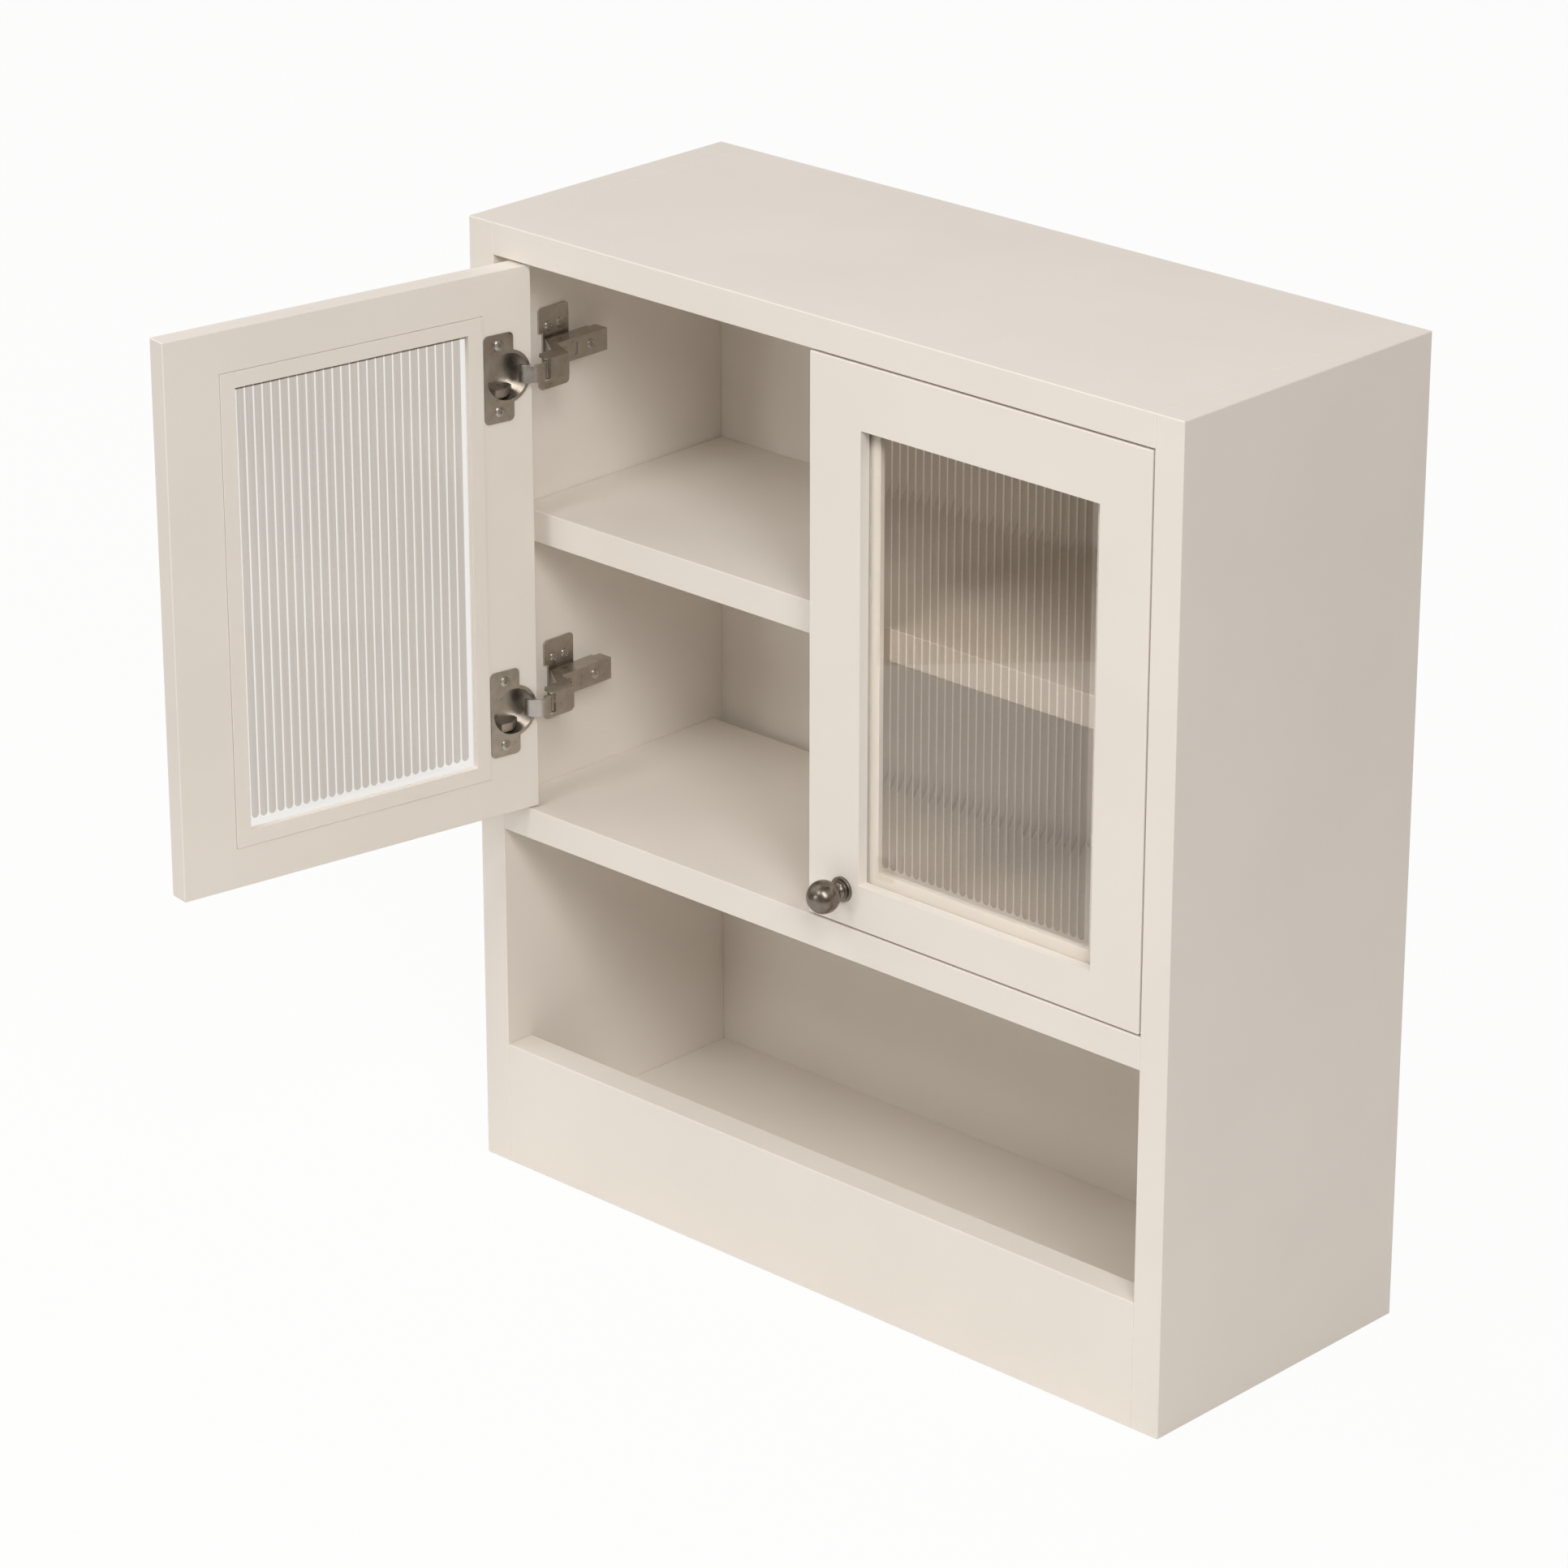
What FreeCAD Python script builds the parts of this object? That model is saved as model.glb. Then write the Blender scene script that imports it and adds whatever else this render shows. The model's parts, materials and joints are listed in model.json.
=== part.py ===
import FreeCAD, Part
import os
import re
import Sketcher

# Wall cabinet for over a toilet: two bays behind a pair of reeded glass doors, an open niche below.
# Millimetres and degrees. The origin is the middle of the two wall fixings, on the wall plane.
# Plus Z is up and the doors face minus Y. The left door stands open, as in the photograph.

SIZES = {
    # carcass
    "width": 600,
    "depth": 235,
    "height": 670,
    "board": 22,
    "ease": 0.5,
    "rail_height": 88,
    "floor_top": 269,
    "floor_slot": 9.8,
    "shelf_top": 472,
    "shelf_setback": 19.5,
    "shelf_play": 0.4,
    "back_inset": 24,
    "back_board": 5,
    "groove_depth": 7,
    "groove_play": 0.15,
    "hang_rail_height": 70,
    "wall_hole_spacing": 400,
    "wall_hole_radius": 2.75,
    # glued dowels and shelf pins
    "dowel_radius": 4,
    "dowel_length": 30,
    "dowel_in_side": 12,
    "dowel_play": 0.05,
    "dowel_end_play": 0.6,
    "dowel_inset": 45,
    "rail_dowel_inset": 22,
    "pin_radius": 2.5,
    "pin_in_side": 10,
    "pin_reach": 9,
    "pin_inset": 40,
    # doors
    "door_gap": 1.5,
    "meeting_gap": 3,
    "door_thick": 15,
    "hinge_stile": 39.5,
    "meeting_stile": 43,
    "top_stile": 42.5,
    "bottom_stile": 30.3,
    "front_lip": 8,
    "lip_side": 3,
    "lip_hinge": 1.5,
    "lip_top": 14.5,
    "glass_pane": 3,
    "glass_play": 0.3,
    "rib_pitch": 6.5,
    "rib_chord": 6.3,
    "rib_rise": 0.5,
    "rib_side": 1.5,
    "rib_margin": 2,
    "bead_width": 11,
    "bead_play": 0.3,
    "left_open_angle": 100,
    # knobs
    "knob_from_edge": 29,
    "knob_from_bottom": 24,
    "knob_radius": 11,
    "knob_stand": 17.5,
    "rosette_radius": 8.5,
    "rosette_thick": 2,
    "step_radius": 6.8,
    "step_thick": 1.6,
    "neck_radius": 4.6,
    "stud_radius": 2,
    "stud_length": 20,
    "stud_in_door": 10,
    "stud_play": 0.05,
    # cup hinges
    "pivot_in": 11,
    "pivot_ahead": 0.6,
    "hinge_from_end": 72,
    "cup_from_edge": 19.5,
    "cup_radius": 17.4,
    "cup_depth": 11.2,
    "cup_bore_play": 0.1,
    "cup_cavity_radius": 15.8,
    "cup_floor": 0.8,
    "flange_thick": 1,
    "flange_round_radius": 18.1,
    "flange_near": 14.8,
    "flange_wide": 22.8,
    "flange_tall": 60,
    "flange_corner": 3.5,
    "stop_near": 1.8,
    "stop_wide": 2.8,
    "stop_tall": 10,
    "stop_rise": 3.8,
    "seat_below": 8.8,
    "seat_tall": 5.6,
    "seat_half": 8,
    "seat_low": 3.5,
    "seat_high": 9,
    "cup_screw_from_edge": 26.2,
    "cup_screw_spacing": 45,
    "screw_radius": 1.7,
    "screw_play": 0.05,
    "screw_head_radius": 3.4,
    "screw_head_thick": 1.4,
    "recess_long": 3.4,
    "recess_wide": 0.8,
    "recess_deep": 0.9,
    "cup_screw_length": 11,
    "plate_screw_length": 14,
    "pin_in": 31.5,
    "pin_back": 15,
    "knuckle_pin_radius": 1.2,
    "knuckle_play": 0.05,
    "knuckle_radius": 2.2,
    "knuckle_fit": 0.02,
    "link_radius": 9.9,
    "link_metal": 1.6,
    "link_tall": 12,
    "link_sweep": 142,
    "link_start": 13.8,
    "link_ratio": 0.65,
    "arm_metal": 1.2,
    "arm_half": 7.6,
    "nose_face": 35.2,
    "nose_end": 33,
    "arm_face": 16,
    "arm_start": 41,
    "arm_end": 87,
    "arm_skirt": 5,
    "arm_lip": 6,
    "arm_web": 9,
    "arm_web_start": 3,
    "arm_web_end": 4,
    "arm_round": 2.5,
    "arm_step": 1.6,
    "arm_bend": 0.6,
    "arm_slot_start": 57,
    "arm_slot_wide": 3,
    "arm_slot_tall": 8,
    "plate_thick": 1.6,
    "plate_start": 38.7,
    "plate_end": 65.7,
    "plate_tall": 56,
    "plate_corner": 3,
    "waist_deep": 3.5,
    "waist_tall": 22,
    "ridge_start": 44,
    "ridge_end": 84,
    "ridge_play": 0.3,
    "plate_screw_first": 47.5,
    "plate_screw_pitch": 10.5,
    "plate_screw_rise": 15,
    "arm_screw_first": 48,
    "arm_screw_last": 72,
    "arm_screw_radius": 2.2,
    "arm_screw_head": 3.3,
    "arm_screw_tip": 2,
    "arm_hole_floor": 1,
}

doc = FreeCAD.newDocument("over_toilet_cabinet")
sheet = doc.addObject("Spreadsheet::Sheet", "Sizes")
for row, (alias, value) in enumerate(SIZES.items(), start=1):
    sheet.set("A%d" % row, alias)
    sheet.set("B%d" % row, str(value))
    sheet.setAlias("B%d" % row, alias)
doc.recompute()

NODES = {}

# Heights and depths that many pieces share, as expressions of the driving sizes
BASE = "(0 - height + board + hang_rail_height / 2)"
FRONT = "(0 - depth)"
SIDE = "(width / 2 - board)"
INNER = "(width - 2 * board)"
BACK = "(0 - back_inset)"
DOOR_BOTTOM = "(%s + floor_top + door_gap)" % BASE
DOOR_TALL = "(height - board - floor_top - 2 * door_gap)"
DOOR_WIDE = "((width - 2 * board - 2 * door_gap - meeting_gap) / 2)"
HINGE_LOW = "(%s + hinge_from_end)" % DOOR_BOTTOM
HINGE_HIGH = "(%s + %s - hinge_from_end)" % (DOOR_BOTTOM, DOOR_TALL)
EDGE = "(door_gap - pivot_in)"
FACE = "(pivot_ahead)"
INNER_FACE = "(pivot_ahead + door_thick)"


def expr(text):
    """Point every size name in an expression at its cell."""
    def cell(found):
        word = found.group(0)
        return "Sizes." + word if word in SIZES else word

    return re.sub(r"[a-z_]+", cell, str(text))


def bind(obj, prop, text):
    obj.setExpression(prop, expr(text))


# Any angle but zero: it keeps a turn's axis until the expression sets the angle
FIRST_ANGLE = 30


def put(obj, at, turn=None):
    """Place an object; turn is an axis and an angle, fixed or an expression."""
    if turn:
        axis, angle = turn
        start = angle if isinstance(angle, (int, float)) else FIRST_ANGLE
        obj.Placement = FreeCAD.Placement(FreeCAD.Vector(), FreeCAD.Rotation(FreeCAD.Vector(*axis), start))
        if not isinstance(angle, (int, float)):
            bind(obj, "Placement.Rotation.Angle", angle)
    for letter, value in zip("xyz", at):
        bind(obj, "Placement.Base." + letter, value)
    return obj


def box(name, size, at):
    obj = doc.addObject("Part::Box", name)
    for prop, value in zip(("Length", "Width", "Height"), size):
        bind(obj, prop, value)
    return put(obj, at)


ALONG = {"x": ((0, 1, 0), 90), "y": ((1, 0, 0), -90), "z": None}


def rod(name, radius, length, at, along="z"):
    obj = doc.addObject("Part::Cylinder", name)
    bind(obj, "Radius", radius)
    bind(obj, "Height", length)
    return put(obj, at, ALONG[along])


def join(name, pieces):
    obj = doc.addObject("Part::MultiFuse", name)
    obj.Shapes = pieces
    obj.Refine = True
    return obj


def carve(name, solid, tools):
    obj = doc.addObject("Part::Cut", name)
    obj.Base = solid
    obj.Tool = tools[0] if len(tools) == 1 else join(name + "_tools", tools)
    return obj


def group(name, pieces):
    obj = doc.addObject("Part::Compound", name)
    obj.Links = pieces
    return obj


def board(name, size, at):
    """A painted board: a box with every edge eased."""
    body = doc.addObject("PartDesign::Body", name)
    block = body.newObject("PartDesign::AdditiveBox", name + "_block")
    for prop, value in zip(("Length", "Width", "Height"), size):
        bind(block, prop, value)
    edges = body.newObject("PartDesign::Chamfer", name + "_eased")
    edges.Base = (block, [""])
    edges.UseAllEdges = True
    bind(edges, "Size", "ease")
    body.Tip = edges
    return put(body, at)


def prism(name, points, tall):
    """A sketched outline of straight sides, raised equally above and below its plane."""
    sketch = doc.addObject("Sketcher::SketchObject", name + "_outline")
    values = []
    for x, y in points:
        found = [float(sheet.evalExpression(expr(text))) for text in (x, y)]
        values.append(FreeCAD.Vector(found[0], found[1], 0))
    for i, start in enumerate(values):
        sketch.addGeometry(Part.LineSegment(start, values[(i + 1) % len(values)]))
    for i in range(len(values)):
        sketch.addConstraint(Sketcher.Constraint("Coincident", i, 2, (i + 1) % len(values), 1))
    for i, (x, y) in enumerate(points):
        for kind, text, number in (("DistanceX", x, values[i].x), ("DistanceY", y, values[i].y)):
            index = sketch.addConstraint(Sketcher.Constraint(kind, -1, 1, i, 1, number))
            bind(sketch, "Constraints[%d]" % index, text)
    solid = doc.addObject("Part::Extrusion", name)
    solid.Base = sketch
    solid.DirMode = "Normal"
    solid.Solid = True
    solid.Symmetric = True
    bind(solid, "LengthFwd", tall)
    return solid


def rounded_plate(name, low, high, corner, along, start, thick):
    """A flat plate with round corners between two corner points; thick runs along x or y from start."""
    (left, bottom), (right, top) = low, high

    def slab(tag, grow_side, grow_end):
        wide = "(%s) - (%s) - 2 * (%s)" % (right, left, grow_side)
        tall = "(%s) - (%s) - 2 * (%s)" % (top, bottom, grow_end)
        side = "%s + %s" % (left, grow_side)
        end = "%s + %s" % (bottom, grow_end)
        if along == "x":
            return box(name + tag, (thick, wide, tall), (start, side, end))
        return box(name + tag, (wide, thick, tall), (side, start, end))

    pieces = [slab("_wide", "0", corner), slab("_tall", corner, "0")]
    for i, (side, end) in enumerate(((left + " + ", bottom + " + "), (left + " + ", top + " - "),
                                     (right + " - ", bottom + " + "), (right + " - ", top + " - "))):
        at = (start, side + corner, end + corner) if along == "x" else (side + corner, start, end + corner)
        pieces.append(rod("%s_corner_%d" % (name, i), corner, thick, at, along))
    return join(name, pieces)


def node(obj, label):
    obj.Label = label
    NODES[label] = obj
    return obj


# Glued dowels: for each board end, the depth and height of its two dowels

def dowel_spots():
    rear = "(depth - dowel_inset)"
    ends = []
    ends += [("top", "dowel_inset", "height - board / 2"), ("top", rear, "height - board / 2")]
    ends += [("floor", "dowel_inset", "floor_top - board / 2"),
             ("floor", "(depth - back_inset - floor_slot - dowel_inset)", "floor_top - board / 2")]
    ends += [("bottom", "board + dowel_inset", "board / 2"), ("bottom", rear, "board / 2")]
    ends += [("rail", "board / 2", "rail_dowel_inset"),
             ("rail", "board / 2", "rail_height - rail_dowel_inset")]
    rail_middle = "depth - (back_inset - back_board) / 2"
    for rail, low in (("hanging", "height - board - hang_rail_height"), ("lower", "board")):
        ends += [(rail, rail_middle, low + " + rail_dowel_inset"),
                 (rail, rail_middle, low + " + hang_rail_height - rail_dowel_inset")]
    return ends


DOWEL_SPOTS = dowel_spots()
SHELF_PIN_SPOTS = ["shelf_setback + pin_inset", "depth - back_inset - pin_inset"]
HANDS = ("left", "right")


def across(hand, start, length):
    """The low x of something that starts a distance in from a side's inner face and runs inward."""
    if hand == "left":
        return "0 - %s + (%s)" % (SIDE, start)
    return "%s - (%s) - (%s)" % (SIDE, start, length)


def dowel_holes(hand, kind=None):
    """Dowel holes in one side panel, or in the end of one board."""
    tools = []
    for i, (owner, deep, high) in enumerate(DOWEL_SPOTS):
        if kind is not None and owner != kind:
            continue
        start = "0 - dowel_in_side - dowel_end_play" if kind is None else "0 - 1"
        length = "dowel_in_side + dowel_end_play + 1" if kind is None else (
            "dowel_length - dowel_in_side + dowel_end_play + 1")
        at = (across(hand, start, length), "%s + %s" % (FRONT, deep), "%s + %s" % (BASE, high))
        name = "dowel_hole_%s_%s_%d" % (hand, kind or "side", i)
        tools.append(rod(name, "dowel_radius + dowel_play", length, at, "x"))
    return tools


# Carcass boards

def side_panel(hand):
    x = "0 - width / 2" if hand == "left" else "width / 2 - board"
    panel = board("side_board_" + hand, ("board", "depth", "height"), (x, FRONT, BASE))
    tools = dowel_holes(hand)
    groove_length = "groove_depth + 1"
    tools.append(box("back_groove_" + hand,
                     (groove_length, "back_board + 2 * groove_play", "height - 2 * board + 2 * groove_play"),
                     (across(hand, "0 - groove_depth", groove_length), "%s - groove_play" % BACK,
                      "%s + board - groove_play" % BASE)))
    for i, deep in enumerate(SHELF_PIN_SPOTS):
        length = "pin_in_side + dowel_end_play + 1"
        at = (across(hand, "0 - pin_in_side - dowel_end_play", length), "%s + %s" % (FRONT, deep),
              "%s + shelf_top - board - pin_radius" % BASE)
        tools.append(rod("shelf_pin_hole_%s_%d" % (hand, i), "pin_radius + dowel_play", length, at, "x"))
    for level, middle in (("low", HINGE_LOW), ("high", HINGE_HIGH)):
        for i in range(4):
            deep, rise = plate_screw_spot(i)
            length = "plate_screw_length + 1"
            at = (across(hand, "plate_thick - plate_screw_length - dowel_end_play", length),
                  "%s + %s" % (FRONT, deep), "%s + %s" % (middle, rise))
            name = "plate_pilot_%s_%s_%d" % (hand, level, i)
            tools.append(rod(name, "screw_radius + screw_play", length, at, "x"))
    node(carve("side_panel_" + hand, panel, tools), "side_panel_" + hand)


def plate_screw_spot(i):
    """Depth behind the front and rise from the hinge's middle of one of the four plate screws."""
    deep = "plate_screw_first" if i % 2 == 0 else "(plate_screw_first + plate_screw_pitch)"
    rise = "plate_screw_rise" if i < 2 else "(0 - plate_screw_rise)"
    return deep, rise


def cross_board(kind, label, size, at, more=()):
    panel = board(label + "_board", size, at)
    tools = dowel_holes("left", kind) + dowel_holes("right", kind) + list(more)
    node(carve(label, panel, tools), label)


def wall_holes(name, start, length):
    return [rod("%s_%d" % (name, i), "wall_hole_radius", length,
                ("%s * wall_hole_spacing / 2" % sign, start, "0"), "y")
            for i, sign in enumerate(("0 - 1", "1"))]


for hand in HANDS:
    side_panel(hand)
LEFT_INNER = "0 - " + SIDE
cross_board("top", "top_panel", (INNER, "depth", "board"),
            (LEFT_INNER, FRONT, "%s + height - board" % BASE))
cross_board("floor", "cabinet_floor", (INNER, "depth - back_inset - floor_slot", "board"),
            (LEFT_INNER, FRONT, "%s + floor_top - board" % BASE))
cross_board("bottom", "bottom_panel", (INNER, "depth - board", "board"),
            (LEFT_INNER, "%s + board" % FRONT, BASE))
cross_board("rail", "niche_front_rail", (INNER, "board", "rail_height"), (LEFT_INNER, FRONT, BASE))
RAIL_THICK = "back_inset - back_board"
cross_board("hanging", "hanging_rail", (INNER, RAIL_THICK, "hang_rail_height"),
            (LEFT_INNER, "%s + back_board" % BACK, "0 - hang_rail_height / 2"),
            wall_holes("hanging_rail_hole", "0 - back_inset", "back_inset + 1"))
cross_board("lower", "lower_back_rail", (INNER, RAIL_THICK, "hang_rail_height"),
            (LEFT_INNER, "%s + back_board" % BACK, "%s + board" % BASE))
back = box("back_sheet",
           (INNER + " + 2 * groove_depth - 2 * groove_play", "back_board", "height - 2 * board"),
           (LEFT_INNER + " - groove_depth + groove_play", BACK, "%s + board" % BASE))
back_holes = wall_holes("back_panel_hole", "0 - back_inset - 1", "back_board + 2")
node(carve("back_panel", back, back_holes), "back_panel")
shelf = board("middle_shelf_board",
              (INNER + " - 2 * shelf_play", "depth - back_inset - shelf_setback", "board"),
              (LEFT_INNER + " + shelf_play", "%s + shelf_setback" % FRONT, "%s + shelf_top - board" % BASE))
node(shelf, "middle_shelf")

dowels = []
for hand in HANDS:
    for i, (owner, deep, high) in enumerate(DOWEL_SPOTS):
        dowels.append(rod("dowel_%s_%d" % (hand, i), "dowel_radius", "dowel_length",
                          (across(hand, "0 - dowel_in_side", "dowel_length"), "%s + %s" % (FRONT, deep),
                           "%s + %s" % (BASE, high)), "x"))
node(group("dowel_set", dowels), "dowels")

pins = []
for hand in HANDS:
    for i, deep in enumerate(SHELF_PIN_SPOTS):
        y = "%s + %s" % (FRONT, deep)
        z = "%s + shelf_top - board - pin_radius" % BASE
        length = "pin_in_side + pin_reach"
        shank = rod("shelf_pin_shank_%s_%d" % (hand, i), "pin_radius", length,
                    (across(hand, "0 - pin_in_side", length), y, z), "x")
        pins.append(shank)
node(group("shelf_pin_set", pins), "shelf_pins")


# Doors, drawn shut about the pivot axis, then turned

def swing(obj, hand, height="0", turn_over=False):
    """Stand a door piece on its pivot axis: left pieces are turned to the open pose. A hinge piece, drawn
    about its own mid height, is turned over for the right."""
    x = "(%s - pivot_in)" % SIDE
    y = "%s - pivot_ahead" % FRONT
    if hand == "left":
        return put(obj, ("0 - " + x, y, height), ((0, 0, 1), "0 - left_open_angle"))
    return put(obj, (x, y, height), ((0, 1, 0), 180) if turn_over else None)


def fixed_level(obj, hand, height):
    """Stand a hinge piece on a side panel, drawn from the panel's inner face and the front plane."""
    if hand == "left":
        return put(obj, ("0 - " + SIDE, FRONT, height))
    return put(obj, (SIDE, FRONT, height), ((0, 1, 0), 180))


def door_x(hand, start, length):
    """Low x, from the pivot axis, of something that starts a distance in from the door's hinge edge."""
    if hand == "left":
        return "%s + (%s)" % (EDGE, start)
    return "0 - %s - (%s) - (%s)" % (EDGE, start, length)


def door_box(name, hand, hinge, free, low, high, deep, thick):
    """A box in the door: margins from its four edges, depth behind its front face and thickness."""
    wide = "%s - (%s) - (%s)" % (DOOR_WIDE, hinge, free)
    return box(name, (wide, thick, "%s - (%s) - (%s)" % (DOOR_TALL, low, high)),
               (door_x(hand, hinge, wide), "%s + %s" % (FACE, deep), "%s + %s" % (DOOR_BOTTOM, low)))


REBATE = ("hinge_stile - lip_hinge", "meeting_stile - lip_side", "bottom_stile - lip_side",
          "top_stile - lip_top")


def grown(margins, extra):
    return ["%s + (%s)" % (margin, extra) for margin in margins]


def door(hand):
    name = hand + "_door"
    knob_z = "%s + knob_from_bottom" % DOOR_BOTTOM
    knob_x = door_x(hand, "%s - knob_from_edge" % DOOR_WIDE, "0")
    panel = board(name + "_blank", (DOOR_WIDE, "door_thick", DOOR_TALL),
                  (door_x(hand, "0", DOOR_WIDE), FACE, DOOR_BOTTOM))
    tools = [
        door_box(name + "_opening", hand, "hinge_stile", "meeting_stile", "bottom_stile", "top_stile",
                 "0 - 1", "door_thick + 2"),
        door_box(name + "_rebate", hand, *REBATE, "front_lip", "door_thick - front_lip + 1"),
        rod(name + "_knob_hole", "stud_radius + stud_play", "stud_in_door + dowel_end_play + 1",
            (knob_x, "%s - 1" % FACE, knob_z), "y"),
    ]
    for level, middle in (("low", HINGE_LOW), ("high", HINGE_HIGH)):
        cup_x = door_x(hand, "cup_from_edge", "0")
        screw_x = door_x(hand, "cup_screw_from_edge", "0")
        tools.append(rod("%s_cup_bore_%s" % (name, level), "cup_radius + cup_bore_play",
                         "cup_depth + cup_bore_play + 1",
                         (cup_x, "%s - cup_depth - cup_bore_play" % INNER_FACE, middle), "y"))
        for end in ("0 - 1", "1"):
            tools.append(rod("%s_cup_pilot_%s_%d" % (name, level, len(tools)), "screw_radius + screw_play",
                             "cup_screw_length + 1",
                             (screw_x, "%s + flange_thick - cup_screw_length - dowel_end_play" % INNER_FACE,
                              "%s + (%s) * cup_screw_spacing / 2" % (middle, end)), "y"))
    frame = node(carve(name + "_cut", panel, tools), name + "_frame")
    swing(frame, hand)

    pane = glass(hand, name)
    swing(pane, hand)

    bead_outer = door_box(name + "_bead_outer", hand, *grown(REBATE, "bead_play"), "front_lip + glass_pane",
                          "door_thick - front_lip - glass_pane")
    bead_hole = door_box(name + "_bead_hole", hand, *grown(REBATE, "bead_width"),
                         "front_lip + glass_pane - 1", "door_thick - front_lip - glass_pane + 2")
    swing(node(carve(name + "_bead_cut", bead_outer, [bead_hole]), hand + "_glass_bead"), hand)

    knob_front = "%s - knob_stand" % FACE
    ball = doc.addObject("Part::Sphere", name + "_knob_ball")
    bind(ball, "Radius", "knob_radius")
    put(ball, (knob_x, knob_front, knob_z))
    neck = rod(name + "_knob_neck", "neck_radius", "knob_stand", (knob_x, knob_front, knob_z), "y")
    step = rod(name + "_knob_step", "step_radius", "step_thick",
               (knob_x, "%s - rosette_thick - step_thick" % FACE, knob_z), "y")
    rosette = rod(name + "_knob_rosette", "rosette_radius", "rosette_thick",
                  (knob_x, "%s - rosette_thick" % FACE, knob_z), "y")
    socket = rod(name + "_knob_socket", "stud_radius + stud_play",
                 "stud_length - stud_in_door + dowel_end_play",
                 (knob_x, "%s + stud_in_door - stud_length - dowel_end_play" % FACE, knob_z), "y")
    turned = join(name + "_knob_turned", [ball, neck, step, rosette])
    swing(node(carve(name + "_knob", turned, [socket]), hand + "_knob"), hand)
    stud = rod(name + "_stud_rod", "stud_radius", "stud_length",
               (knob_x, "%s + stud_in_door - stud_length" % FACE, knob_z), "y")
    swing(node(group(name + "_stud", [stud]), hand + "_knob_stud"), hand)


def glass(hand, name):
    """Reeded glass: a flat pane with a row of upright round-ended ribs on its inner side."""
    pane = door_box(name + "_pane", hand, *grown(REBATE, "glass_play"), "front_lip", "glass_pane")
    ring = "(rib_chord * rib_chord / 4 + rib_rise * rib_rise) / (2 * rib_rise)"
    deep = "%s + front_lip + glass_pane + rib_rise - %s" % (FACE, ring)
    hinge, free, low, high = grown(REBATE, "bead_width")
    middle = "((%s) + %s - (%s)) / 2" % (hinge, DOOR_WIDE, free)
    low_end = "%s + %s + rib_margin + rib_chord / 2" % (DOOR_BOTTOM, low)
    length = "%s - (%s) - (%s) - 2 * rib_margin - rib_chord" % (DOOR_TALL, low, high)
    span = "%s - (%s) - (%s) - 2 * rib_side" % (DOOR_WIDE, hinge, free)
    count = int(sheet.evalExpression(expr("(%s) / rib_pitch" % span)))
    ribs = []
    for i in range(count):
        x = door_x(hand, "%s + %s * rib_pitch" % (middle, i - (count - 1) / 2), "0")
        ribs.append(rod("%s_rib_%d" % (name, i), ring, length, (x, deep, low_end)))
    front = door_box(name + "_rib_trim", hand, "0", "0", "0", "0", "front_lip + glass_pane - 0.2", "10")
    rib_row = doc.addObject("Part::MultiCommon", name + "_rib_row")
    rib_row.Shapes = [group(name + "_rib_set", ribs), front]
    return node(join(name + "_reeded", [pane, rib_row]), hand + "_glass")


for hand in HANDS:
    door(hand)


# Cup hinges, drawn once about the hinge's mid height for the left and turned over for the right

CUP_X = "(%s + cup_from_edge)" % EDGE
CUP_SCREW_X = "(%s + cup_screw_from_edge)" % EDGE


def pan_screw(name, head_radius, radius, length, at, along):
    """A cross headed screw lying along x or y: pan head outward at the given face, shank inward."""
    axis = "xyz".index(along)
    foot = list(at)
    foot[axis] = "%s - (%s)" % (at[axis], length)
    head = rod(name + "_head", head_radius, "screw_head_thick", at, along)
    shank = rod(name + "_shank", radius, length, foot, along)
    cross = []
    for longer in {"x": (1, 2), "y": (0, 2)}[along]:
        size = ["recess_wide"] * 3
        size[longer] = "recess_long"
        size[axis] = "recess_deep + 1"
        corner = ["%s - %s / 2" % (place, span) for place, span in zip(at, size)]
        corner[axis] = "%s + screw_head_thick - recess_deep" % at[axis]
        cross.append(box("%s_recess_%d" % (name, longer), size, corner))
    return carve(name, join(name + "_blank", [head, shank]), cross)


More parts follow.
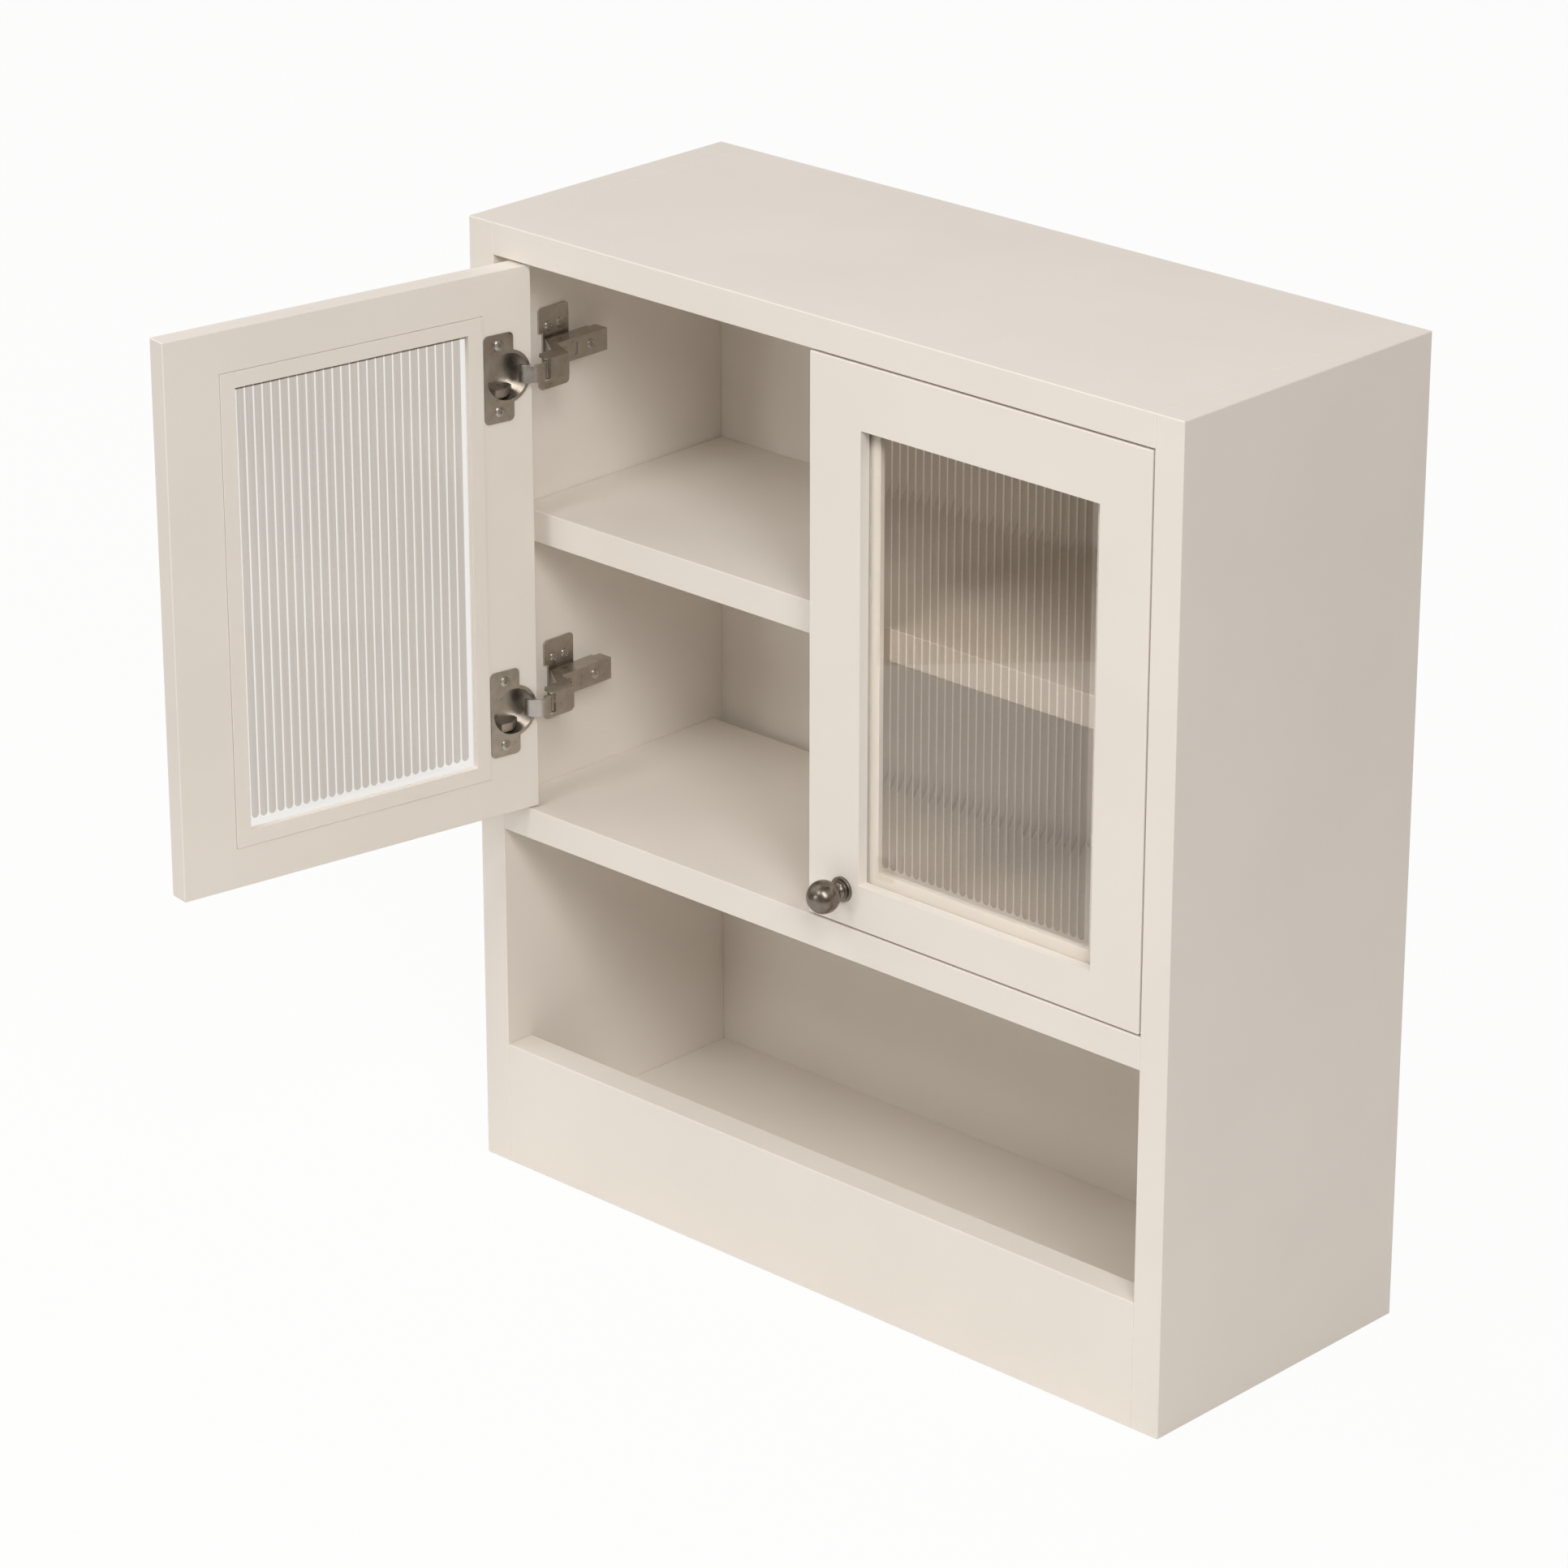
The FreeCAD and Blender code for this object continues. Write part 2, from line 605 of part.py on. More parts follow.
def hinge(hand, level, middle):
    name = "%s_%s_hinge" % (hand, level)
    top = "%s + flange_thick" % INNER_FACE

    cup = rod(name + "_cup_well", "cup_radius", "cup_depth", (CUP_X, "%s - cup_depth" % INNER_FACE, "0"), "y")
    round_flange = rod(name + "_cup_round", "flange_round_radius", "flange_thick",
                       (CUP_X, INNER_FACE, "0"), "y")
    near = "%s + flange_near" % EDGE
    wings = rounded_plate(name + "_cup_wings", (near, "0 - flange_tall / 2"),
                          (near + " + flange_wide", "flange_tall / 2"), "flange_corner", "y", INNER_FACE,
                          "flange_thick")
    stop = box(name + "_cup_stop", ("stop_wide", "stop_rise", "stop_tall"),
               ("%s + stop_near" % EDGE, INNER_FACE, "0 - stop_tall / 2"))
    cavity = rod(name + "_cup_cavity", "cup_cavity_radius", "cup_depth + 5",
                 (CUP_X, "%s - cup_depth + cup_floor" % INNER_FACE, "0"), "y")
    holes = [rod("%s_cup_hole_%d" % (name, i), "screw_radius + screw_play", "flange_thick + 2",
                 (CUP_SCREW_X, "%s - 1" % INNER_FACE, "(%s) * cup_screw_spacing / 2" % end), "y")
             for i, end in enumerate(("0 - 1", "1"))]
    cup_body = join(name + "_cup_body", [cup, round_flange, wings, stop])
    cup_shell = carve(name + "_cup_cut", cup_body, [cavity] + holes)
    cup_base = "%s - cup_depth + cup_floor / 2" % INNER_FACE
    seat = prism(name + "_cup_seat", [
        ("%s - seat_half" % CUP_X, cup_base), ("%s + seat_half" % CUP_X, cup_base),
        ("%s + seat_half" % CUP_X, "%s + seat_high" % cup_base), (CUP_X, "%s + seat_high" % cup_base),
        ("%s - seat_half" % CUP_X, "%s + seat_low" % cup_base)], "seat_tall")
    put(seat, ("0", "0", "0 - seat_below - seat_tall / 2"))
    swing(node(join(name + "_cup_whole", [cup_shell, seat]), name + "_cup"), hand, middle, True)

    cup_screws = [pan_screw("%s_cup_screw_%d" % (name, i), "screw_head_radius", "screw_radius",
                            "cup_screw_length", (CUP_SCREW_X, top, "(%s) * cup_screw_spacing / 2" % end), "y")
                  for i, end in enumerate(("0 - 1", "1"))]
    cup_group = swing(group(name + "_cup_screws", cup_screws), hand, middle, True)

    # the plate that is screwed to the side panel, with the ridge that the arm straddles
    ridge_top = "arm_face - arm_metal"
    wing_plate = rounded_plate(name + "_plate_wings", ("plate_start", "0 - plate_tall / 2"),
                               ("plate_end", "plate_tall / 2"), "plate_corner", "x", "0", "plate_thick")
    ridge = box(name + "_plate_ridge",
                (ridge_top, "ridge_end - ridge_start", "2 * (arm_half - arm_metal - ridge_play)"),
                ("0", "ridge_start", "0 - arm_half + arm_metal + ridge_play"))
    waist = box(name + "_plate_waist", ("plate_thick + 2", "waist_deep + 1", "waist_tall"),
                ("0 - 1", "plate_start - 1", "0 - waist_tall / 2"))
    plate_holes = [waist]
    screws = []
    for i in range(4):
        deep, rise = plate_screw_spot(i)
        plate_holes.append(rod("%s_plate_hole_%d" % (name, i), "screw_radius + screw_play", "plate_thick + 2",
                               ("0 - 1", deep, rise), "x"))
        screws.append(pan_screw("%s_plate_screw_%d" % (name, i), "screw_head_radius", "screw_radius",
                                "plate_screw_length", ("plate_thick", deep, rise), "x"))
    arm_holes = []
    arm_screws = []
    for i, deep in enumerate(("arm_screw_first", "arm_screw_last")):
        for target in (plate_holes, arm_holes):
            target.append(rod("%s_arm_hole_%d_%d" % (name, i, len(target)), "arm_screw_radius + screw_play",
                              "arm_face", ("plate_thick + arm_hole_floor", deep, "0"), "x"))
        arm_screws.append(pan_screw("%s_arm_screw_%d" % (name, i), "arm_screw_head", "arm_screw_radius",
                                    "arm_face - plate_thick - arm_screw_tip", ("arm_face", deep, "0"), "x"))
    plate = carve(name + "_plate_cut", join(name + "_plate_body", [wing_plate, ridge]), plate_holes)
    fixed_level(node(plate, name + "_plate"), hand, middle)
    plate_group = fixed_level(group(name + "_plate_screws", screws), hand, middle)
    arm_group = fixed_level(group(name + "_arm_screws", arm_screws), hand, middle)

    # the cranked arm: a folded channel with the knuckle pin across its nose
    outer = prism(name + "_arm_outer", [
        ("pin_in - arm_lip", "pin_back"), ("pin_in + arm_round", "pin_back"),
        ("pin_in + arm_round", "pin_back + arm_step"), ("nose_face", "pin_back + arm_step"),
        ("nose_face", "nose_end"), ("arm_face", "arm_start"),
        ("arm_face", "arm_end"), ("arm_skirt", "arm_end"), ("arm_skirt", "arm_start"),
        ("pin_in - arm_web", "nose_end - arm_web_end"),
        ("pin_in - arm_web", "pin_back + arm_web_start")], "2 * arm_half")
    round_end = rod(name + "_arm_round", "arm_round", "2 * arm_half", ("pin_in", "pin_back", "0 - arm_half"))
    hollow = prism(name + "_arm_hollow", [
        ("1", "5"), ("nose_face - arm_metal", "5"), ("nose_face - arm_metal", "nose_end - arm_bend"),
        ("arm_face - arm_metal", "arm_start - arm_bend"), ("arm_face - arm_metal", "arm_end + 5"),
        ("1", "arm_end + 5")], "2 * (arm_half - arm_metal)")
    slot = box(name + "_arm_slot", ("arm_metal + 0.5", "arm_slot_wide", "arm_slot_tall"),
               ("arm_face - arm_metal", "arm_slot_start", "0 - arm_slot_tall / 2"))
    pin_hole = rod(name + "_arm_pin_hole", "knuckle_pin_radius + knuckle_fit", "4 * arm_half",
                   ("pin_in", "pin_back", "0 - 2 * arm_half"))
    arm_tools = [hollow, slot, pin_hole] + arm_holes
    arm = carve(name + "_arm_cut", join(name + "_arm_body", [outer, round_end]), arm_tools)
    fixed_level(node(arm, name + "_arm"), hand, middle)
    pin = rod(name + "_pin_rod", "knuckle_pin_radius", "2 * arm_half", ("pin_in", "pin_back", "0 - arm_half"))
    pin_group = fixed_level(group(name + "_pin", [pin]), hand, middle)

    # the bowed link that turns on the pin and reaches into the cup
    centre = ("0 - link_radius * cos(link_start)", "link_radius * sin(link_start)")
    bow = doc.addObject("Part::Cylinder", name + "_link_bow")
    bind(bow, "Radius", "link_radius + link_metal / 2")
    bind(bow, "Height", "link_tall")
    bind(bow, "Angle", "link_sweep")
    put(bow, centre + ("0 - link_tall / 2",), ((0, 0, 1), "0 - link_start - link_sweep"))
    bore = rod(name + "_link_inside", "link_radius - link_metal / 2", "link_tall + 2",
               centre + ("0 - link_tall / 2 - 1",))
    barrel = rod(name + "_link_barrel", "knuckle_radius", "link_tall", ("0", "0", "0 - link_tall / 2"))
    eye = rod(name + "_link_eye", "knuckle_pin_radius + knuckle_play", "link_tall + 2",
              ("0", "0", "0 - link_tall / 2 - 1"))
    ring = carve(name + "_link_ring", bow, [bore])
    link = node(carve(name + "_link_cut", join(name + "_link_body", [ring, barrel]), [eye]), name + "_link")
    x = "(%s - pin_in)" % SIDE
    y = "%s + pin_back" % FRONT
    if hand == "left":
        put(link, ("0 - " + x, y, middle), ((0, 0, 1), "link_ratio * left_open_angle"))
    else:
        put(link, (x, y, middle), ((0, 1, 0), 180))
    return {"cup_screws": cup_group, "plate_screws": plate_group, "arm_screws": arm_group,
            "knuckle_pins": pin_group}


for hand in HANDS:
    pairs = [hinge(hand, "lower", HINGE_LOW), hinge(hand, "upper", HINGE_HIGH)]
    for kind in pairs[0]:
        node(group("%s_%s_pair" % (hand, kind), [pair[kind] for pair in pairs]), "%s_%s" % (hand, kind))

doc.recompute()

problems = []
for obj in doc.Objects:
    if "Invalid" in obj.State or "Error" in obj.State:
        problems.append("%s: %s" % (obj.Name, obj.State))
for label, obj in NODES.items():
    if obj.Shape.isNull() or not obj.Shape.isValid() or not obj.Shape.Solids:
        problems.append("%s has no sound shape" % label)
if problems:
    raise RuntimeError("; ".join(problems))

os.makedirs("parts", exist_ok=True)
for label, obj in NODES.items():
    obj.Shape.exportStep("parts/%s.step" % label)
    print(label, len(obj.Shape.Solids), "solids", round(obj.Shape.Volume / 1000, 2), "cm3")
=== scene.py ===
import json
import math

import bmesh
import bpy
import numpy as np
from mathutils import Matrix, Vector


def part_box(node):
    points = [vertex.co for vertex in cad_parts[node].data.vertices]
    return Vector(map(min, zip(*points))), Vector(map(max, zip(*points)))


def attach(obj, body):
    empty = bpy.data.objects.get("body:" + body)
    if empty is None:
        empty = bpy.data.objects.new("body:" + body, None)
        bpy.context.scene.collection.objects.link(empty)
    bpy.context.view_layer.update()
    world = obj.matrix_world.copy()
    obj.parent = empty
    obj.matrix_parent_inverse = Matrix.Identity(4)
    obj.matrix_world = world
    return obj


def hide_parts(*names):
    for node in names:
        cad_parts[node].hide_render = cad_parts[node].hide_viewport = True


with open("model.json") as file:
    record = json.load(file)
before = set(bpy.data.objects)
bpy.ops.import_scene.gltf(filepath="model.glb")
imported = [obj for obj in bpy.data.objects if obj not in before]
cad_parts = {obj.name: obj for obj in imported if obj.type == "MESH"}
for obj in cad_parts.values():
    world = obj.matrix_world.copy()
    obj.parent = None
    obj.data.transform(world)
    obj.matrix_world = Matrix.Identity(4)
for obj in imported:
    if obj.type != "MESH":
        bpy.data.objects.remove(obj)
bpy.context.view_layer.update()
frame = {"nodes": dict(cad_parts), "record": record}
cad_nodes = frame["nodes"]
bpy.context.scene.view_settings.view_transform = "Standard"

MM = 0.001


def box_mm(node):
    """A node's lowest and highest corners in millimetres, to a hundredth."""
    return [[round(value / MM, 2) for value in corner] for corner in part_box(node)]


# Sizes in millimetres, from the boxes of the solids and from their hinges

side_low, side_high = box_mm("side_panel_left")
door_low, door_high = box_mm("right_door_frame")
CARCASS_BOTTOM = side_low[2]
FRONT_PLANE = side_low[1]
SIDE_INNER = -side_high[0]
DOOR_GAP = SIDE_INNER - door_high[0]
DOOR_WIDE = door_high[0] - door_low[0]
DOOR_TALL = door_high[2] - door_low[2]
DOOR_THICK = door_high[1] - door_low[1]
DOOR_BOTTOM = door_low[2]
DOOR_RISE = DOOR_BOTTOM - CARCASS_BOTTOM
PIVOT_IN = 11.0
PIVOT_AHEAD = 0.6
LEFT_OPEN = math.radians(100.0)
HINGE_FROM_END = 72.0
HINGE_HEIGHTS = (HINGE_FROM_END, DOOR_TALL - HINGE_FROM_END)
HANDS = ("left", "right")


def door_points(hand, across, deep, high):
    """Row coordinates, in metres, of points given as distance from a door's hinge edge, depth behind its
    front face and height above its lower edge: a mirror for the right door, a turn about the pivot for the
    left one."""
    x = np.asarray(across, float) + DOOR_GAP - PIVOT_IN
    y = np.asarray(deep, float) + PIVOT_AHEAD
    z = np.asarray(high, float) + DOOR_BOTTOM
    x, y, z = np.broadcast_arrays(x, y, z)
    pivot = SIDE_INNER - PIVOT_IN
    if hand == "right":
        x = pivot - x
    else:
        cosine, sine = math.cos(LEFT_OPEN), math.sin(LEFT_OPEN)
        x, y = x * cosine + y * sine - pivot, y * cosine - x * sine
    return np.stack([x, y + FRONT_PLANE - PIVOT_AHEAD, z], -1) * MM


def side_points(hand, off, back, high):
    """Row coordinates, in metres, of points given from a side panel's inner face, the front plane and the
    carcass bottom."""
    off, back, high = np.broadcast_arrays(np.asarray(off, float), back, high)
    x = off - SIDE_INNER if hand == "left" else SIDE_INNER - off
    return np.stack([x, back + FRONT_PLANE, high + CARCASS_BOTTOM], -1) * MM


# Meshes: welding lengths in metres, angles in degrees

WELD = 1e-7
SLIVER = 1e-8
SHARP = 35.0


def grid_faces(rows, columns, start=0, wrap=False):
    """Quads of a grid of points numbered row by row; wrap joins the last column to the first."""
    i = np.arange(rows - 1)[:, None]
    j = np.arange(columns if wrap else columns - 1)[None, :]
    k = (j + 1) % columns
    quads = [i * columns + j, i * columns + k, (i + 1) * columns + k, (i + 1) * columns + j]
    return np.stack(quads, -1).reshape(-1, 4) + start


def close_shell(mesh, level=0.0):
    """Merge the seams and poles of a mesh and turn its faces outward. Faces that turn by less than level, in
    degrees, become one face."""
    shell = bmesh.new()
    shell.from_mesh(mesh)
    bmesh.ops.remove_doubles(shell, verts=shell.verts, dist=WELD)
    bmesh.ops.dissolve_degenerate(shell, edges=shell.edges, dist=SLIVER)
    bmesh.ops.recalc_face_normals(shell, faces=shell.faces)
    if level:
        angle = math.radians(level)
        bmesh.ops.dissolve_limit(shell, angle_limit=angle, verts=shell.verts, edges=shell.edges)
    shell.to_mesh(mesh)
    shell.free()


def surface_piece(name, parts, sharp=SHARP, **values):
    """One object from a list of (points, wrap) grids, doubles merged, normals outward, smooth between sharp
    edges. Each of values is an attribute with one number for each point of the grids."""
    points, faces, start = [], [], 0
    for grid, wrap in parts:
        rows, columns = grid.shape[:2]
        faces.append(grid_faces(rows, columns, start, wrap))
        points.append(grid.reshape(-1, 3))
        start += rows * columns
    mesh = bpy.data.meshes.new(name)
    mesh.from_pydata(np.concatenate(points).tolist(), [], np.concatenate(faces).tolist())
    for label, numbers in values.items():
        mesh.attributes.new(label, "FLOAT", "POINT").data.foreach_set("value", numbers.ravel())
    piece = bpy.data.objects.new(name, mesh)
    bpy.context.collection.objects.link(piece)
    close_shell(mesh)
    mesh.shade_smooth()
    mesh.set_sharp_from_angle(angle=math.radians(sharp))
    return piece


# Colours, pattern sizes and nodes

def linear(code):
    """sRGB hex to linear red, green, blue and full alpha."""
    values = [int(code[i:i + 2], 16) / 255 for i in (1, 3, 5)]
    return tuple(v / 12.92 if v <= 0.04045 else ((v + 0.055) / 1.055) ** 2.4 for v in values) + (1.0,)


def grey(value):
    """The same linear value in red, green and blue, for roughness and other plain numbers on a ramp."""
    return (value, value, value, 1.0)


def per_mm(size):
    """Texture scale at which one feature is about so many millimetres on Object coordinates in metres."""
    return 1.0 / (size * MM)


def add(tree, kind, inputs=None, stops=(), **settings):
    """Add a node: settings are its properties, inputs are values or other nodes' sockets, stops are the
    places and colours of a ramp."""
    made = tree.nodes.new(kind)
    for name, value in settings.items():
        setattr(made, name, value)
    for element, (place, colour) in zip(made.color_ramp.elements if stops else (), stops):
        element.position = place
        element.color = colour
    for name, value in (inputs or {}).items():
        if isinstance(value, bpy.types.NodeSocket):
            tree.links.new(value, made.inputs[name])
        else:
            made.inputs[name].default_value = value
    return made


def new_material(name):
    """A new material with its shader joined to its output, given as the material, its node tree, its shader
    and its Object coordinates."""
    material = bpy.data.materials.new(name)
    material.use_nodes = True
    tree = material.node_tree
    tree.nodes.clear()
    shader = add(tree, "ShaderNodeBsdfPrincipled")
    add(tree, "ShaderNodeOutputMaterial", {"Surface": shader.outputs["BSDF"]})
    place = add(tree, "ShaderNodeTexCoord").outputs["Object"]
    return material, tree, shader, place


# Materials

def satin_lacquer():
    """Sprayed satin lacquer on fibreboard: warm off white, very slight clouding and a fine orange peel, which
    is drawn coarser than it is so that it shows."""
    material, tree, shader, place = new_material("satin_lacquer_on_fibreboard")
    shader.inputs["IOR"].default_value = 1.5
    cloud = add(tree, "ShaderNodeTexNoise", {"Vector": place, "Scale": per_mm(90), "Detail": 3.0})
    colour = add(tree, "ShaderNodeValToRGB", {"Fac": cloud.outputs["Fac"]},
                 stops=((0.3, linear("#EDE6DD")), (0.7, linear("#F0E9E0"))))
    tree.links.new(colour.outputs["Color"], shader.inputs["Base Color"])
    gloss = add(tree, "ShaderNodeValToRGB", {"Fac": cloud.outputs["Fac"]},
                stops=((0.25, grey(0.46)), (0.75, grey(0.50))))
    tree.links.new(gloss.outputs["Color"], shader.inputs["Roughness"])
    peel = add(tree, "ShaderNodeTexNoise", {"Vector": place, "Scale": per_mm(2.2), "Detail": 2.0})
    bump = add(tree, "ShaderNodeBump",
               {"Height": peel.outputs["Fac"], "Strength": 0.05, "Distance": 0.4 * MM})
    tree.links.new(bump.outputs["Normal"], shader.inputs["Normal"])
    return material


def reeded_glass():
    """Cast glass, nearly clear where it is flat. The reeds, which are in the mesh, get a painted warm grey
    shade that stands in for the dim surroundings seen through them. Lamps light the cabinet through it with
    little loss."""
    material, tree, shader, place = new_material("reeded_glass_painted_reed_shade")
    shader.inputs["Transmission Weight"].default_value = 1.0
    shader.inputs["IOR"].default_value = 1.5
    thick = add(tree, "ShaderNodeAttribute", attribute_name="thick")
    # Painted shade: the thicker the reed, the darker and warmer its tone, standing in for the dim
    # surroundings the reeds show
    reed_shade = add(tree, "ShaderNodeValToRGB", {"Fac": thick.outputs["Fac"]},
               stops=((0.05, linear("#F3F1EE")), (0.3, linear("#A89D92"))))
    tree.links.new(reed_shade.outputs["Color"], shader.inputs["Base Color"])
    cloud = add(tree, "ShaderNodeTexNoise", {"Vector": place, "Scale": per_mm(60), "Detail": 1.0})
    gloss = add(tree, "ShaderNodeValToRGB", {"Fac": cloud.outputs["Fac"]},
                stops=((0.3, grey(0.0)), (0.7, grey(0.02))))
    tree.links.new(gloss.outputs["Color"], shader.inputs["Roughness"])
    paths = add(tree, "ShaderNodeLightPath")
    clear = add(tree, "ShaderNodeBsdfTransparent", {"Color": linear("#F0EEEB")})
    passing = add(tree, "ShaderNodeMixShader",
                  {0: paths.outputs["Is Shadow Ray"], 1: shader.outputs["BSDF"], 2: clear.outputs["BSDF"]})
    tree.links.new(passing.outputs["Shader"], tree.nodes["Material Output"].inputs["Surface"])
    return material


def nickel_plate():
    """Pressed steel, nickel plated: warm grey with soft mirror patches and faint drawing lines, which are
    drawn wider than they are so that they show."""
    material, tree, shader, place = new_material("nickel_plated_steel")
    shader.inputs["Metallic"].default_value = 1.0
    patch = add(tree, "ShaderNodeTexNoise", {"Vector": place, "Scale": per_mm(7), "Detail": 3.0})
    colour = add(tree, "ShaderNodeValToRGB", {"Fac": patch.outputs["Fac"]},
                 stops=((0.3, linear("#B3ADA5")), (0.7, linear("#C6C0B9"))))
    tree.links.new(colour.outputs["Color"], shader.inputs["Base Color"])
    gloss = add(tree, "ShaderNodeValToRGB", {"Fac": patch.outputs["Fac"]},
                stops=((0.3, grey(0.26)), (0.7, grey(0.38))))
    tree.links.new(gloss.outputs["Color"], shader.inputs["Roughness"])
    stretch = add(tree, "ShaderNodeMapping", {"Vector": place, "Scale": (0.15, 1.0, 1.0)})
    lines = add(tree, "ShaderNodeTexNoise",
                {"Vector": stretch.outputs["Vector"], "Scale": per_mm(0.7), "Detail": 2.0})
    bump = add(tree, "ShaderNodeBump",
               {"Height": lines.outputs["Fac"], "Strength": 0.06, "Distance": 0.2 * MM})
    tree.links.new(bump.outputs["Normal"], shader.inputs["Normal"])
    return material


def pewter():
    """Cast pewter with a dark brushed finish: cloudy brown grey with soft highlights and a faint grain, which
    is drawn coarser than it is so that it shows."""
    material, tree, shader, place = new_material("brushed_pewter")
    shader.inputs["Metallic"].default_value = 1.0
    patina = add(tree, "ShaderNodeTexNoise", {"Vector": place, "Scale": per_mm(6), "Detail": 4.0})
    colour = add(tree, "ShaderNodeValToRGB", {"Fac": patina.outputs["Fac"]},
                 stops=((0.3, linear("#736A60")), (0.7, linear("#8B8177"))))
    tree.links.new(colour.outputs["Color"], shader.inputs["Base Color"])
    gloss = add(tree, "ShaderNodeValToRGB", {"Fac": patina.outputs["Fac"]},
                stops=((0.3, grey(0.26)), (0.7, grey(0.38))))
    tree.links.new(gloss.outputs["Color"], shader.inputs["Roughness"])
    grain = add(tree, "ShaderNodeTexNoise", {"Vector": place, "Scale": per_mm(0.6), "Detail": 2.0})
    bump = add(tree, "ShaderNodeBump",
               {"Height": grain.outputs["Fac"], "Strength": 0.05, "Distance": 0.2 * MM})
    tree.links.new(bump.outputs["Normal"], shader.inputs["Normal"])
    return material


def raw_beech():
    """Raw beech dowel: pale pinkish brown with short darker flecks along the grain."""
    material, tree, shader, place = new_material("raw_beech")
    shader.inputs["Roughness"].default_value = 0.7
    along = add(tree, "ShaderNodeMapping", {"Vector": place, "Scale": (0.12, 1.0, 1.0)})
    fleck = add(tree, "ShaderNodeTexNoise",
                {"Vector": along.outputs["Vector"], "Scale": per_mm(1.2), "Detail": 3.0})
    colour = add(tree, "ShaderNodeValToRGB", {"Fac": fleck.outputs["Fac"]},
                 stops=((0.35, linear("#B98F66")), (0.7, linear("#D9B48C"))))
    tree.links.new(colour.outputs["Color"], shader.inputs["Base Color"])
    bump = add(tree, "ShaderNodeBump",
               {"Height": fleck.outputs["Fac"], "Strength": 0.1, "Distance": 0.3 * MM})
    tree.links.new(bump.outputs["Normal"], shader.inputs["Normal"])
    return material


FINISH = {
    "painted_board": satin_lacquer(),
    "reeded_glass": reeded_glass(),
    "hinge_steel": nickel_plate(),
    "pewter": pewter(),
    "beech": raw_beech(),
}
SLOT_OF = {entry["node"]: entry["material_slot"] for entry in frame["record"]["subparts"]}

for node, slot in SLOT_OF.items():
    cad_nodes[node].data.materials.clear()
    cad_nodes[node].data.materials.append(FINISH[slot])


def dress(piece, body, slot, stands_for):
    """Give a new piece its finish and its body, and hide the solid that it stands for."""
    piece.data.materials.append(FINISH[slot])
    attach(piece, body)
    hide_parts(stands_for)


# Boards and hinge steel with eased edges: lengths in millimetres, level in degrees

EASED = {"painted_board": 0.25, "hinge_steel": 0.3}
EASED_STEPS = 2
LEVEL = 0.5
BEAD_PROUD = 0.7
BEAD_SKIN = 0.1


def raised_bead(hand, points):
    """A bead's points with its inner face moved inward, so that it stands a little proud of its door."""
    inward = door_points(hand, 0, 1, 0) - door_points(hand, 0, 0, 0)
    depth = points @ inward / MM
    inner = depth > depth.max() - BEAD_SKIN * MM
    return points + np.outer(inner, BEAD_PROUD * inward)


def eased_solid(node, body, slot):
    """A merged copy of a solid, its level faces made whole and its sharp edges rounded over."""
    solid = cad_nodes[node].data
    points = np.empty(3 * len(solid.vertices))
    solid.vertices.foreach_get("co", points)
    points = points.reshape(-1, 3)
    if node.endswith("_glass_bead"):
        points = raised_bead(node.split("_")[0], points)
    corners = np.empty(len(solid.loops), int)
    solid.loops.foreach_get("vertex_index", corners)
    mesh = bpy.data.meshes.new(node + "_eased")
    mesh.from_pydata(points.tolist(), [], corners.reshape(-1, 3).tolist())
    close_shell(mesh, LEVEL)
    mesh.shade_smooth()
    piece = bpy.data.objects.new(node + "_eased", mesh)
    bpy.context.collection.objects.link(piece)
    bevel = piece.modifiers.new("eased_edges", "BEVEL")
    bevel.width = EASED[slot] * MM
    bevel.segments = EASED_STEPS
    bevel.limit_method = "ANGLE"
    bevel.angle_limit = math.radians(SHARP)
    bevel.harden_normals = True
    dress(piece, body, slot, node)


for body, nodes in frame["record"]["behaviour"]["bodies"].items():
    for node in nodes:
        if SLOT_OF[node] == "painted_board" or "_hinge_" in node:
            eased_solid(node, body, SLOT_OF[node])


# Reeded panes: places from a door's hinge edge and lower edge, depths behind its front face

pane_low, pane_high = box_mm("right_glass")
bead_low, bead_high = box_mm("right_glass_bead")
PANE = {"hinge": door_high[0] - pane_high[0], "free": door_high[0] - pane_low[0],
        "low": pane_low[2] - DOOR_BOTTOM, "high": pane_high[2] - DOOR_BOTTOM}
OPENING = {"hinge": 49.0, "free": DOOR_WIDE - 51.0, "low": 38.3, "high": DOOR_TALL - 39.0}
LIP_CLEAR = 0.05
BEAD_CLEAR = 0.1
PANE_FRONT = pane_low[1] - FRONT_PLANE + LIP_CLEAR
PANE_BACK = bead_low[1] - FRONT_PLANE - BEAD_CLEAR
PANE_SHARP = 60.0
REED_PITCH = 6.5
REED_WIDE = 5.9
REED_SWELL = 0.14
REED_COUNT = 26
REED_MIDDLE = (OPENING["hinge"] + OPENING["free"]) / 2
REED_START = 5.0
REED_HIDDEN = 1.0
REED_LOW = OPENING["low"] + REED_START
REED_HIGH = OPENING["high"] + REED_HIDDEN
REED_END = 3.2

# Rows between the rounded ends, then shares of half a reed and of an end, closer where the surface turns most
REED_ROWS = np.linspace(60, 310, 6)
REED_STEPS = np.array([0, 0.2, 0.4, 0.6, 0.75, 0.86, 0.93, 0.97, 1.0])
END_STEPS = np.array([0, 0.02, 0.06, 0.12, 0.2, 0.3, 0.42, 0.56, 0.7, 0.85, 1.0])


def reed_thickness(across, high):
    """Share of a reed's full swell at a place on the pane: one less the square of the distance from the
    reed's line and, at its ends, less the square of the distance into its rounded end; nothing in the flat
    gaps."""
    turns = (across - REED_MIDDLE) / REED_PITCH + REED_COUNT / 2
    inside = (turns > 0) & (turns < REED_COUNT)
    off = (turns - np.floor(turns) - 0.5) * 2 * REED_PITCH / REED_WIDE
    end = np.maximum(REED_LOW + REED_END - high, high - REED_HIGH + REED_END) / REED_END
    return np.where(inside, np.clip(1 - off ** 2 - np.clip(end, 0, None) ** 2, 0, 1), 0.0)


